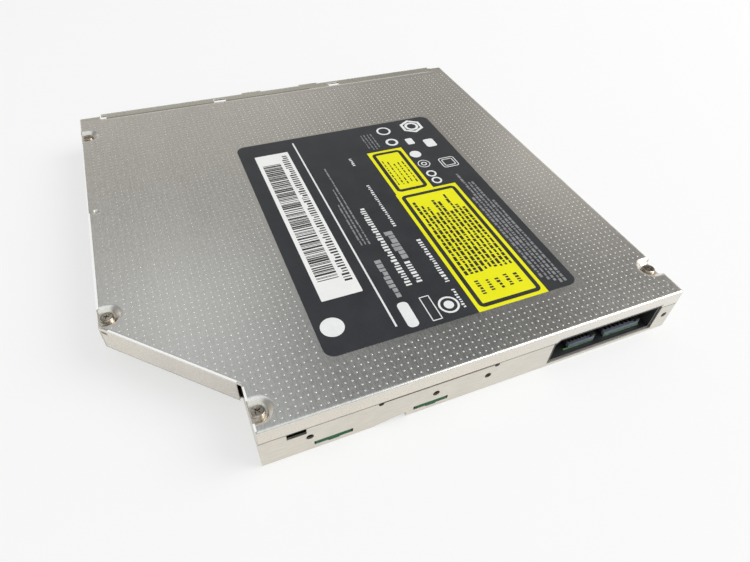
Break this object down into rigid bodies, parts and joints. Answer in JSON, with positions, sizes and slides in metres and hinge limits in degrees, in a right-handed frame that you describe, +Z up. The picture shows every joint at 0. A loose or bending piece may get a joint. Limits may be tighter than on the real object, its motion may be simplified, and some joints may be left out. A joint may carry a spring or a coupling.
{
  "type": "internal disc writer",
  "caption": "Slim slot-loading disc writer: L-shaped sheet-metal casing with a printed cover, rear interface socket, and a working loading, lifting and reading mechanism inside.",
  "frame": {"origin": "middle of the drive's outline, on the surface it lies on", "axes": "+Z up through the cover, +Y towards the rear wall with the interface socket, +X to the right seen from the disc slot, towards the thin wing with the cut corner"},
  "size_m": [0.128, 0.129, 0.0127],
  "materials": {
    "cover_steel": "galvanised sheet, fine grain along the depth",
    "wall_steel": "bright nickel-tinted sheet",
    "label_print": "black film with simple coloured print",
    "sticker_paper": "white film with black bars",
    "dark_screw": "dull yellow plated",
    "black_moulding": "fine moulded",
    "felt": "short black pile",
    "contact_gold": "bright plated",
    "board_green": "solder mask over woven board",
    "chip_black": "moulded epoxy",
    "connector_cream": "moulded",
    "inner_steel": "bright rolled sheet",
    "diecast": "die cast, slightly grainy",
    "rubber": "soft matt",
    "bright_steel": "ground",
    "grey_moulding": "fine moulded",
    "white_acetal": "slightly waxy moulding",
    "brown_acetal": "slightly waxy moulding",
    "lens_glass": "clear, coated"
  },
  "bodies": {
    "drive": {"top_cover": "cover_steel", "bottom_chassis": "wall_steel", "cover_screws": "dark_screw", "top_label": "label_print", "barcode_sticker": "sticker_paper", "slot_guides": "black_moulding", "slot_pad_upper": "felt", "slot_pad_lower": "felt", "front_ledge": "inner_steel", "interface_socket": "black_moulding", "socket_contacts": "contact_gold", "main_board": "board_green", "board_chips": "chip_black", "flex_sockets": "connector_cream", "loading_motor": "inner_steel", "motor_bracket": "black_moulding", "gear_studs": "bright_steel", "crank_stud": "bright_steel", "lever_studs": "bright_steel"},
    "traverse": {"lift_frame": "inner_steel", "traverse_frame": "diecast", "rubber_dampers": "rubber", "damper_screws": "bright_steel", "spindle_base": "inner_steel", "guide_rod_main": "bright_steel", "guide_rod_sub": "bright_steel", "sled_motor": "inner_steel"},
    "turntable": {"turntable": "grey_moulding", "turntable_ring": "rubber"},
    "lead_screw": {"lead_screw": "bright_steel"},
    "pickup": {"pickup_body": "diecast", "actuator_cover": "inner_steel"},
    "lens": {"lens_holder": "black_moulding", "objective_lens": "lens_glass"},
    "loading_worm": {"loading_worm": "white_acetal"},
    "worm_gear": {"worm_gear": "white_acetal"},
    "relay_gear": {"relay_gear": "white_acetal"},
    "cam_slider": {"cam_slider": "white_acetal"},
    "cross_slider": {"cross_slider": "white_acetal"},
    "slider_crank": {"slider_crank": "inner_steel"},
    "eject_lever": {"eject_lever": "inner_steel", "eject_peg": "brown_acetal"},
    "guide_lever": {"guide_lever": "inner_steel", "guide_peg": "brown_acetal"},
    "loading_lever": {"loading_lever": "inner_steel", "loading_peg": "brown_acetal"}
  },
  "joints": [
    {"name": "worm_spin", "type": "hinge", "parent": "drive", "child": "loading_worm", "pos_m": [0.02148, -0.05209, 0.0036], "axis": [1, 0, 0], "range_deg": [0, 5760.05]},
    {"name": "worm_gear_spin", "type": "hinge", "parent": "drive", "child": "worm_gear", "pos_m": [0.02148, -0.04409, 0.003], "axis": [0, 0, 1], "range_deg": [-480, 0]},
    {"name": "relay_spin", "type": "hinge", "parent": "drive", "child": "relay_gear", "pos_m": [0.0295, -0.04, 0.003], "axis": [0, 0, 1], "range_deg": [0, 240]},
    {"name": "cam_slide", "type": "slide", "parent": "drive", "child": "cam_slider", "axis": [0, 1, 0], "range_m": [0, 0.01257]},
    {"name": "crank_swing", "type": "hinge", "parent": "drive", "child": "slider_crank", "pos_m": [0.0224, 0.036, 0.0035], "axis": [0, 0, 1], "range_deg": [0, 50.58]},
    {"name": "cross_slide", "type": "slide", "parent": "drive", "child": "cross_slider", "axis": [1, 0, 0], "range_m": [0, 0.01257]},
    {"name": "traverse_lift", "type": "hinge", "parent": "drive", "child": "traverse", "pos_m": [-0.04808, -0.04808, 0.0026], "axis": [0.7071, -0.7071, 0], "range_deg": [0, 1.69]},
    {"name": "turntable_spin", "type": "hinge", "parent": "traverse", "child": "turntable", "pos_m": [0.00007, 0.00007, 0.005], "axis": [0.0208, 0.0208, 0.9996], "continuous": true},
    {"name": "pickup_slide", "type": "slide", "parent": "traverse", "child": "pickup", "axis": [-0.7068, -0.7068, 0.0294], "range_m": [0, 0.033]},
    {"name": "lead_screw_spin", "type": "hinge", "parent": "traverse", "child": "lead_screw", "pos_m": [0.002, -0.03025, 0.00279], "axis": [-0.7068, -0.7068, 0.0294], "range_deg": [0, 5940.01]},
    {"name": "lens_focus", "type": "slide", "parent": "pickup", "child": "lens", "axis": [0.0208, 0.0208, 0.9996], "range_m": [-0.0004, 0.0004], "stiffness_N_per_m": 60},
    {"name": "eject_swing", "type": "hinge", "parent": "drive", "child": "eject_lever", "pos_m": [-0.05, 0.036, 0.0074], "axis": [0, 0, 1], "range_deg": [0, 44.6], "stiffness_Nm_per_rad": 0.004},
    {"name": "guide_swing", "type": "hinge", "parent": "drive", "child": "guide_lever", "pos_m": [-0.06, 0.02, 0.0074], "axis": [0, 0, 1], "range_deg": [-6.75, 0], "stiffness_Nm_per_rad": 0.004},
    {"name": "loading_swing", "type": "hinge", "parent": "drive", "child": "loading_lever", "pos_m": [0.057, 0.014, 0.0074], "axis": [0, 0, 1], "range_deg": [-9.5, 6], "stiffness_Nm_per_rad": 0.004}
  ],
  "couplings": [
    {"joint": "worm_spin", "follows": "cam_slide", "rad_per_m": 8000},
    {"joint": "worm_gear_spin", "follows": "cam_slide", "rad_per_m": -666.67},
    {"joint": "relay_spin", "follows": "cam_slide", "rad_per_m": 333.33},
    {"joint": "crank_swing", "follows": "cam_slide", "rad_per_m": 70.242},
    {"joint": "cross_slide", "follows": "cam_slide", "ratio": 1},
    {"joint": "traverse_lift", "follows": "cam_slide", "rad_per_m": 2.3409},
    {"joint": "lead_screw_spin", "follows": "pickup_slide", "rad_per_m": 3141.6}
  ]
}
